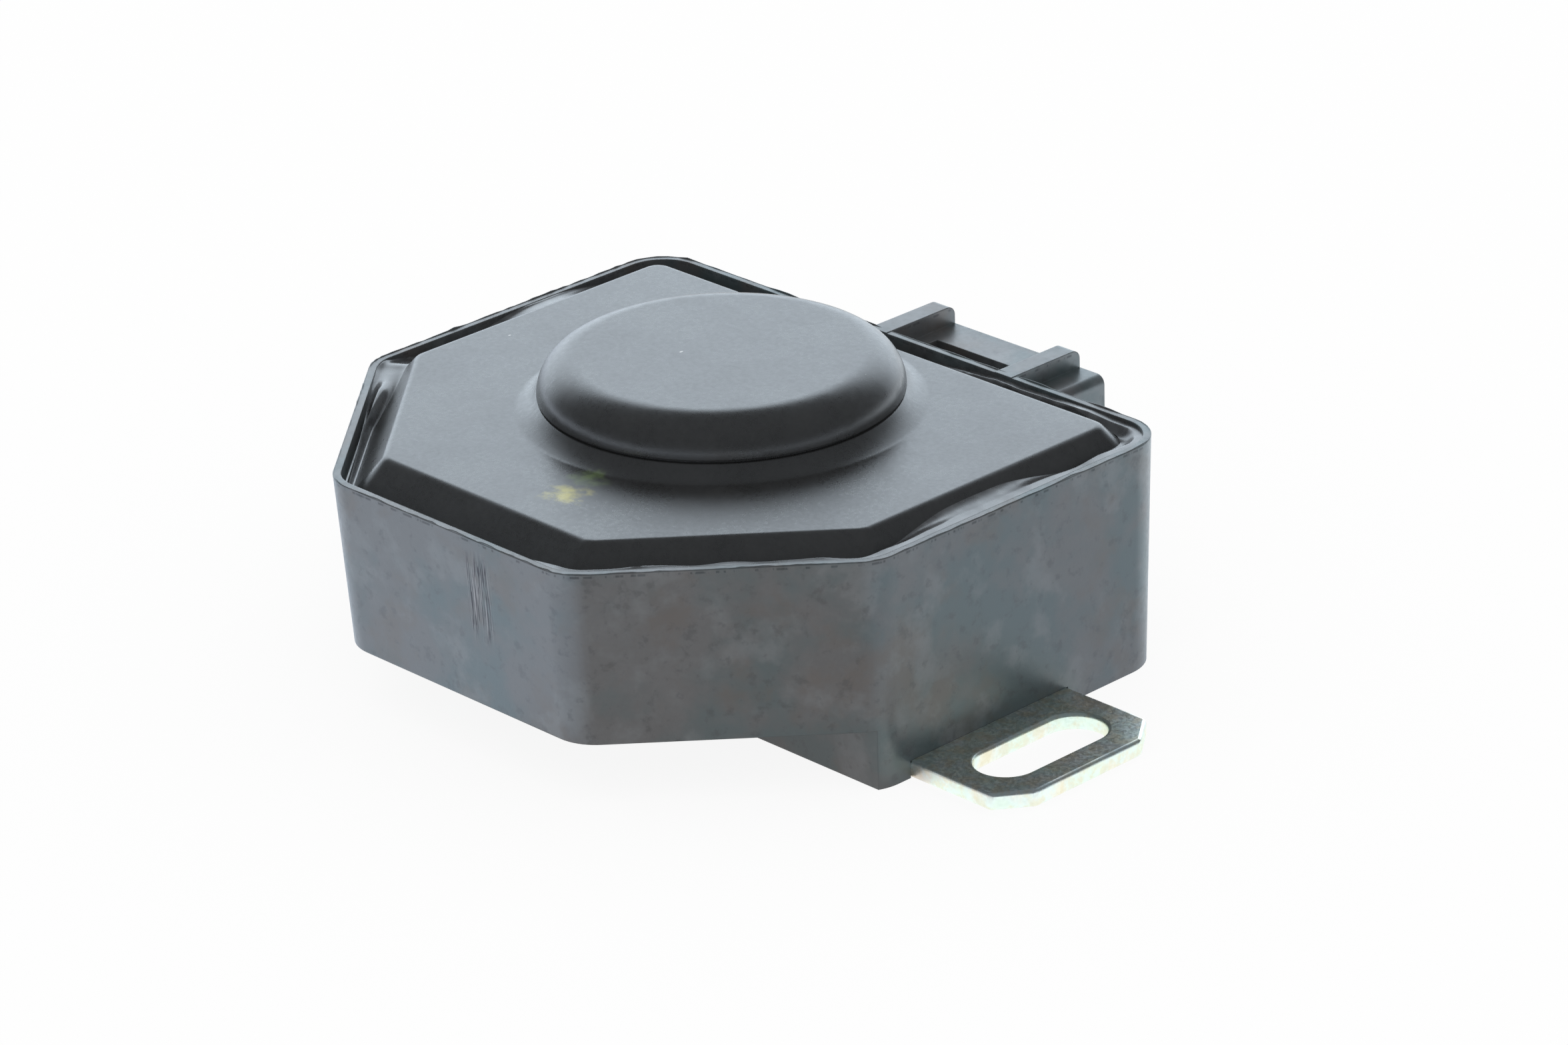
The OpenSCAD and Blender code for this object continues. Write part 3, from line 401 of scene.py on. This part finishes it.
# Outline of the housing, as in the part's source, in millimetres
PLAN = [(-13.6, -30.4), (13.6, -30.4), (30.0, -12.0), (30.0, 21.5), (-30.0, 21.5), (-30.0, -12.0)]
SIDES = len(PLAN)
CORNER_R = 4.2
RIM_Z = 19.8
RIM_T = 0.65
# The cover's flange, at the foot of its bevel, and its plateau, with the inset of each side
FLANGE_IN = 1.3
FLANGE_Z = 17.8
PLATEAU_Z = 20.75
PLATEAU_IN = (4.45, 4.1, 3.6, 3.95, 3.6, 4.1)
PLATEAU_R = 1.2
ARC_STEPS = 7
SIDE_STEPS = 40


def inset_plan(insets):
    """Corners of the plan, with each side moved inwards by its own inset."""
    points = []
    for i in range(SIDES):
        before, corner, after = (Vector(PLAN[k % SIDES]) for k in (i - 1, i, i + 1))
        way_in = (corner - before).normalized()
        way_out = (after - corner).normalized()
        start = before + Vector((-way_in.y, way_in.x)) * insets[i - 1]
        left_out = Vector((-way_out.y, way_out.x))
        end = corner + left_out * insets[i]
        points.append(start + way_in * ((end - start).dot(left_out) / way_in.dot(left_out)))
    return points


def outline(insets, radius):
    """Closed outline with round corners; every outline has the same number of points in the same order."""
    corners = inset_plan(insets)
    arcs = []
    for i, corner in enumerate(corners):
        back = (corners[i - 1] - corner).normalized()
        onward = (corners[(i + 1) % SIDES] - corner).normalized()
        half = back.angle(onward) / 2
        inward = (back + onward).normalized()
        centre = corner + inward * (radius / math.sin(half))
        nearest = centre - inward * radius
        turn = math.pi - 2 * half
        middle = math.atan2(nearest.y - centre.y, nearest.x - centre.x)
        angles = [middle + turn * (k / ARC_STEPS - 0.5) for k in range(ARC_STEPS + 1)]
        arcs.append([centre + radius * Vector((math.cos(angle), math.sin(angle))) for angle in angles])
    points = []
    for i, arc in enumerate(arcs):
        points.extend(arc)
        after = arcs[(i + 1) % SIDES][0]
        points.extend(arc[-1].lerp(after, k / SIDE_STEPS) for k in range(1, SIDE_STEPS))
    return points


def mesh_object(name, bm, material, smooth_angle):
    """New piece from a bmesh, with edges over smooth_angle degrees left sharp."""
    bmesh.ops.recalc_face_normals(bm, faces=bm.faces)
    mesh = bpy.data.meshes.new(name)
    bm.to_mesh(mesh)
    bm.free()
    mesh.materials.append(material)
    mesh.shade_smooth()
    mesh.set_sharp_from_angle(angle=math.radians(smooth_angle))
    piece = bpy.data.objects.new(name, mesh)
    scene.collection.objects.link(piece)
    return piece


def ring_mesh(sections):
    """Closed tube through equal cross-sections, each a list of points in millimetres."""
    bm = bmesh.new()
    rows = [[bm.verts.new(Vector(point) * MM) for point in section] for section in sections]
    count = len(rows[0])
    for i, row in enumerate(rows):
        after = rows[(i + 1) % len(rows)]
        for k in range(count):
            beside = (k + 1) % count
            bm.faces.new((row[k], row[beside], after[beside], after[k]))
    return bm


def uneven(point, size, scale, seed):
    """Smooth noise over the plan, between about -size and size."""
    return size * noise.noise(Vector((point.x * scale, point.y * scale, seed)))


# Sealing resin: it fills the channel unevenly, clings to the rim and climbs the cover's bevel.
# Each pool has its middle, its reach towards +Y and -Y, its rise and its climb up the bevel.
POOLS = (
    ((30.0, 1.5), 15.0, 16.0, 2.6, 0.35),
    ((29.6, 19.0), 6.0, 6.0, 1.4, 0.1),
    ((-30.0, 6.6), 11.0, 11.0, 2.4, 0.5),
    ((-29.3, -11.9), 7.0, 24.5, 2.2, 0.1),
    ((-29.0, 20.5), 9.0, 9.0, 0.8, 0.1),
)
HIGHEST_RISE = 1.74
POOL_SMOOTHING = 3
# Heights of its underside, of its level between the pools, and of the most that it fills, clings and climbs
FOOT_Z = 17.82
RESIN_Z = 17.9
FILL_TOP = 19.68
RESIN_TOP = 19.74
CLIMB_TOP = 20.6
# Each ripple has its size, its scale per millimetre and its seed
LEVEL_RIPPLE = (0.05, 0.12, 3.1)
EDGE_RIPPLE = (0.12, 0.3, 6.4)
LIP_RIPPLE = (0.4, 0.3, 4.2)
CLIMB_RIPPLE = (0.08, 0.3, 8.0)
# It clings to the rim towards +X, not at all at the first x and fully at the second. There it stands up to
# the rim in a lip, and elsewhere it only wets the rim. The lip falls over the first width, and over as much
# more as the second where it clings.
CLING_X = (-4.0, 12.0)
CLING_SHARE = 0.88
WET_H = 0.18
LIP_WIDTH = 0.8
LIP_FALL = (0.25, 0.3)
LIP_CURVE = 1.5
# It climbs the bevel a little all round, and fades towards the rim over the first width, and over as much
# more as the second for each millimetre that it climbs
CLIMB_H = 0.16
CLIMB_FADE = (0.2, 1.2)
# On the left sloping wall it has shrunk from both sides and leaves a thin ridge. The rates say how soon it
# sinks, its ridge rises and narrows, and its climb is lost, from the ends of that stretch to its middle.
RIDGE_AT = Vector((-15.0, -28.6))
RIDGE_REACH = 22.0
RIDGE_H = 0.1
RIDGE_HALF = 0.14
RIDGE_WIDER = 0.9
SINK_RATE = 1.8
RISE_RATE = 4.0
NARROW_RATE = 2.2
LOSS_RATE = 2.0
MOST_LOSS = 0.9
# Steps across the resin, and the outlines that it ends on, one at each level, a little inside the bevel
ACROSS_STEPS = 24
LEVEL_STEP = 0.1
LEVEL_COUNT = 30
BEVEL_GAP = 0.05


def bevel_line(z):
    """Outline that lies just inside the cover's bevel at a height."""
    t = (z - FLANGE_Z) / (PLATEAU_Z - FLANGE_Z)
    insets = [FLANGE_IN + (inset - FLANGE_IN) * t + BEVEL_GAP for inset in PLATEAU_IN]
    return outline(insets, (CORNER_R - FLANGE_IN) * (1 - t) + PLATEAU_R * t)


def smoothed(values, reach):
    """Moving average round a closed row of values."""
    span = range(-reach, reach + 1)
    return [sum(values[(i + k) % len(values)] for k in span) / len(span) for i in range(len(values))]


def pool_levels(line):
    """How far the resin rises above its level, and climbs the bevel, at each point of a line."""
    rises = []
    climbs = []
    for point in line:
        shares = []
        for middle, ahead, back, rise, climb in POOLS:
            off = point - Vector(middle)
            shares.append((max(0.0, 1 - off.length / (ahead if off.y > 0 else back)), rise, climb))
        rises.append(min(sum(share * rise for share, rise, climb in shares), HIGHEST_RISE))
        climbs.append(max(share * share * climb for share, rise, climb in shares))
    return smoothed(rises, POOL_SMOOTHING), smoothed(climbs, POOL_SMOOTHING)


def resin_section(i, outer, rise, climb):
    """Cross-section of the resin, from the rim to the bevel and back along its foot."""
    fill = max(min(RESIN_Z + rise, FILL_TOP) + uneven(outer, *LEVEL_RIPPLE), RESIN_Z)
    cling = min(max((outer.x - CLING_X[0]) / (CLING_X[1] - CLING_X[0]), 0.0), 1.0)
    shrunk = max(0.0, 1.0 - (outer - RIDGE_AT).length / RIDGE_REACH) * (1.0 - cling)
    side = fill + (RESIN_Z - fill) * min(1.0, SINK_RATE * shrunk)
    ridge = (fill + RIDGE_H - side) * min(1.0, RISE_RATE * shrunk)
    ridge_half = RIDGE_HALF + RIDGE_WIDER * max(0.0, 1.0 - NARROW_RATE * shrunk)
    edge = WET_H * (1.0 - cling) + cling * (RESIN_TOP - fill) * (CLING_SHARE + uneven(outer, *EDGE_RIPPLE))
    lip = LIP_WIDTH * cling * (1.0 + uneven(outer, *LIP_RIPPLE))
    lip_fall = LIP_FALL[0] + LIP_FALL[1] * cling
    climb += (CLIMB_H + uneven(outer, *CLIMB_RIPPLE)) * (1.0 - min(MOST_LOSS, LOSS_RATE * shrunk))
    climb_fade = CLIMB_FADE[0] + CLIMB_FADE[1] * climb
    level = (min(side + climb, CLIMB_TOP) - FLANGE_Z) / LEVEL_STEP
    k = int(level)
    inner = bevel_lines[k][i].lerp(bevel_lines[k + 1][i], level - k)
    width = (inner - outer).length
    section = []
    for step in range(ACROSS_STEPS + 1):
        share = step / ACROSS_STEPS
        past_lip = max(0.0, share * width - lip)
        z = side + edge * math.exp(-((past_lip / lip_fall) ** LIP_CURVE))
        z += climb * math.exp(-(1 - share) * width / climb_fade)
        z += ridge * math.exp(-(((share - 0.5) * width / ridge_half) ** 2))
        flat = outer.lerp(inner, share)
        section.append((flat.x, flat.y, min(z, RESIN_TOP + (CLIMB_TOP - RESIN_TOP) * share)))
    foot = outer.lerp(inner, 0.5)
    section.append((foot.x, foot.y, FOOT_Z))
    section.append((outer.x, outer.y, FOOT_Z))
    return section


# It reaches a little into the rim, so that no gap shows
INTO_RIM = 0.03
rim_line = outline([RIM_T - INTO_RIM] * SIDES, CORNER_R - RIM_T)
bevel_lines = [bevel_line(FLANGE_Z + LEVEL_STEP * k) for k in range(LEVEL_COUNT)]
rises, climbs = pool_levels(rim_line)
sections = [resin_section(i, point, rises[i], climbs[i]) for i, point in enumerate(rim_line)]
resin = mesh_object("resin_bead", ring_mesh(sections), resin_mat, 60.0)
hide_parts("sealing_compound")
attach(resin, "housing")

# Ragged flash left standing on the rim's outer edge: its least height over the rim, what the product of a
# coarse and a fine ripple adds, each raised by its level, its thickness and its uneven lean
FLASH_STUB = 0.015
FLASH_H = 0.256
FLASH_T = 0.05
FLASH_LEAN = 0.02
COARSE_LEVEL = 0.35
COARSE_RIPPLE = (1.0, 0.55, 1.7)
FINE_LEVEL = 0.5
FINE_RIPPLE = (1.0, 2.3, 5.1)
LEAN_RIPPLE = (0.02, 0.4, 9.0)
# How far in its foot and its root lie, and how far below the rim's top its three lower points are
FLASH_FOOT = 0.09
ROOT_IN = 0.06
ROOT_DEPTHS = (0.04, 0.1, 0.2)


def flash_section(point, inward):
    """Cross-section of the flash, from its inner foot over its top to its root in the rim."""
    coarse = max(0.0, COARSE_LEVEL + uneven(point, *COARSE_RIPPLE))
    fine = max(0.0, FINE_LEVEL + uneven(point, *FINE_RIPPLE))
    top = RIM_Z + FLASH_STUB + FLASH_H * coarse * fine
    lean = FLASH_LEAN + uneven(point, *LEAN_RIPPLE)
    profile = (
        (lean + FLASH_FOOT, RIM_Z - ROOT_DEPTHS[0]),
        (lean + FLASH_T, top),
        (lean, top),
        (0.0, RIM_Z - ROOT_DEPTHS[1]),
        (ROOT_IN, RIM_Z - ROOT_DEPTHS[2]),
    )
    return [(*(point + inward * depth), z) for depth, z in profile]


sections = []
wall_line = outline([0.0] * SIDES, CORNER_R)
for i, point in enumerate(wall_line):
    along = (wall_line[(i + 1) % len(wall_line)] - wall_line[i - 1]).normalized()
    sections.append(flash_section(point, Vector((-along.y, along.x))))
flash = mesh_object("parting_flash", ring_mesh(sections), housing_mat, 30.0)
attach(flash, "housing")

# Plain pin numbers, raised in the pocket on the connector, one for each blade, in millimetres
NUMBERS_X = (-0.4, 4.6, 9.6)
POCKET_Y = 23.6
POCKET_Z = 17.62
NUMBER_SIZE = 2.3
NUMBER_RAISE = 0.11
NUMBER_EDGE = 0.03


def number_mesh(number, place):
    """Mesh of one raised number, with its middle at a place."""
    curve = bpy.data.curves.new("pin_number", "FONT")
    curve.body = str(number)
    curve.size = NUMBER_SIZE * MM
    curve.extrude = NUMBER_RAISE * MM
    curve.bevel_depth = NUMBER_EDGE * MM
    curve.bevel_resolution = 1
    curve.align_x = "CENTER"
    curve.align_y = "CENTER"
    text = bpy.data.objects.new("pin_number_text", curve)
    scene.collection.objects.link(text)
    bpy.context.view_layer.update()
    mesh = bpy.data.meshes.new_from_object(text.evaluated_get(bpy.context.evaluated_depsgraph_get()))
    bpy.data.objects.remove(text)
    bm = bmesh.new()
    bm.from_mesh(mesh)
    bmesh.ops.transform(bm, matrix=Matrix.Translation(Vector(place) * MM), verts=bm.verts)
    bpy.data.meshes.remove(mesh)
    return bm


for i, x in enumerate(NUMBERS_X):
    bm = number_mesh(i + 1, (x, POCKET_Y, POCKET_Z))
    number = mesh_object(f"pin_number_{i + 1}", bm, housing_mat, 30.0)
    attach(number, "housing")

# Floor, background and light. Across the picture and away from the camera, level:
ACROSS = (0.698, 0.716)
AWAY = (-0.7255, 0.6882)
WHITE = (1.0, 1.0, 1.0, 1.0)
FLOOR_COLOUR = (0.93, 0.93, 0.93, 1.0)
# How much of what the camera sees of the floor is plain white
WHITE_SHARE = 0.9
# Half the floor's side, and how far it lies below the part, in metres
FLOOR_HALF = 4
FLOOR_DROP = 0.00002
# Painted reflection that the floor glows with for glossy faces only: at the left, in the middle, at the
# right, beyond the right corner and round the two ears, and in metres where each starts and is full, or is
# full and ends
LEFT_SHINE = (1.27, 1.42, 1.62)
LEFT_ACROSS = (-0.030, -0.012)
MIDDLE_SHINE = (0.74, 0.71, 0.70)
RIGHT_SHINE = (0.93, 1.03, 1.14)
RIGHT_ACROSS = (0.016, 0.034)
CORNER_SHINE = (1.5, 1.64, 1.76)
CORNER_AWAY = (-0.012, 0.004)
CORNER_ACROSS = (0.02, 0.03)
EAR_SHINE = (1.08, 1.14, 1.10)
EAR_X = (0.0305, 0.0325, 0.046, 0.050)
EAR_Y = (0.011, 0.014)
# What they see in the room: a pale bluish wall far behind the object, in a range of directions, low down
# and fading upwards, and little else
WALL_SHINE = (0.87, 0.985, 1.09, 1.0)
WALL_AWAY = (0.50, 0.86)
WALL_UP = (0.56, 0.74)
WALL_LEVEL = 2.25
ROOM_LEVEL = 0.13


def floor_shine(t):
    """Painted reflection: colour that the floor glows with for glossy faces only, by place."""
    at = t.add("ShaderNodeSeparateXYZ", {"Vector": t.add("ShaderNodeTexCoord").outputs["Object"]})
    across = t.along(at, ACROSS)
    tint = t.mix(t.remap(across, *LEFT_ACROSS, 1.0, 0.0), MIDDLE_SHINE, LEFT_SHINE)
    tint = t.mix(t.remap(across, *RIGHT_ACROSS), tint, RIGHT_SHINE)
    corner = t.times(t.remap(t.along(at, AWAY), *CORNER_AWAY), t.remap(across, *CORNER_ACROSS))
    tint = t.mix(corner, tint, CORNER_SHINE)
    by_ear = t.within(t.math("ABSOLUTE", at.outputs["X"]), *EAR_X)
    level_with_ear = t.remap(t.math("ABSOLUTE", at.outputs["Y"]), *EAR_Y, 1.0, 0.0)
    return t.mix(t.times(by_ear, level_with_ear), tint, EAR_SHINE)


def pale_floor():
    """Floor that takes light and shadow, looks almost white, and glows with a painted reflection for glossy
    faces.
    """
    material = bpy.data.materials.new("pale_floor")
    material.use_nodes = True
    t = Tree(material.node_tree)
    out = t.add("ShaderNodeOutputMaterial")
    rays = t.add("ShaderNodeLightPath").outputs
    lit = t.add("ShaderNodeBsdfDiffuse", {"Color": FLOOR_COLOUR}).outputs[0]
    white = t.add("ShaderNodeEmission", {"Color": WHITE, "Strength": 1.0}).outputs[0]
    # Painted reflection: glossy rays see the floor's glow, set by place
    shine = t.add("ShaderNodeEmission", {"Color": floor_shine(t), "Strength": 1.0}).outputs[0]
    seen = t.add("ShaderNodeMixShader", {0: WHITE_SHARE, 1: lit, 2: white}).outputs[0]
    plain = t.add("ShaderNodeMixShader", {0: rays["Is Camera Ray"], 1: lit, 2: seen}).outputs[0]
    both = t.add("ShaderNodeMixShader", {0: rays["Is Glossy Ray"], 1: plain, 2: shine}).outputs[0]
    t.put(both, out.inputs["Surface"])
    return material


FLOOR_CORNERS = ((-1, -1), (1, -1), (1, 1), (-1, 1))
corners = [(x * FLOOR_HALF, y * FLOOR_HALF, 0) for x, y in FLOOR_CORNERS]
floor_mesh = bpy.data.meshes.new("floor")
floor_mesh.from_pydata(corners, [], [(0, 1, 2, 3)])
floor_mesh.materials.append(pale_floor())
floor = bpy.data.objects.new("floor", floor_mesh)
floor.location.z = -FLOOR_DROP
scene.collection.objects.link(floor)

# The room lights the object evenly, and glossy faces see its wall
world = bpy.data.worlds.new("studio")
scene.world = world
world.use_nodes = True
t = Tree(world.node_tree)
out = t.add("ShaderNodeOutputWorld")
rays = t.add("ShaderNodeLightPath").outputs
look = t.add("ShaderNodeSeparateXYZ", {"Vector": t.add("ShaderNodeTexCoord").outputs["Generated"]})
wall = t.times(t.remap(t.along(look, AWAY), *WALL_AWAY), t.remap(look.outputs["Z"], *WALL_UP, 1.0, 0.0))
level = t.math("ADD", t.times(wall, WALL_LEVEL), ROOM_LEVEL)
room = t.add("ShaderNodeBackground", {"Color": WALL_SHINE, "Strength": level}).outputs[0]
plain = t.add("ShaderNodeBackground", {"Color": WHITE, "Strength": 1.0}).outputs[0]
both = t.add("ShaderNodeMixShader", {0: rays["Is Glossy Ray"], 1: plain, 2: room}).outputs[0]
t.put(both, out.inputs["Surface"])
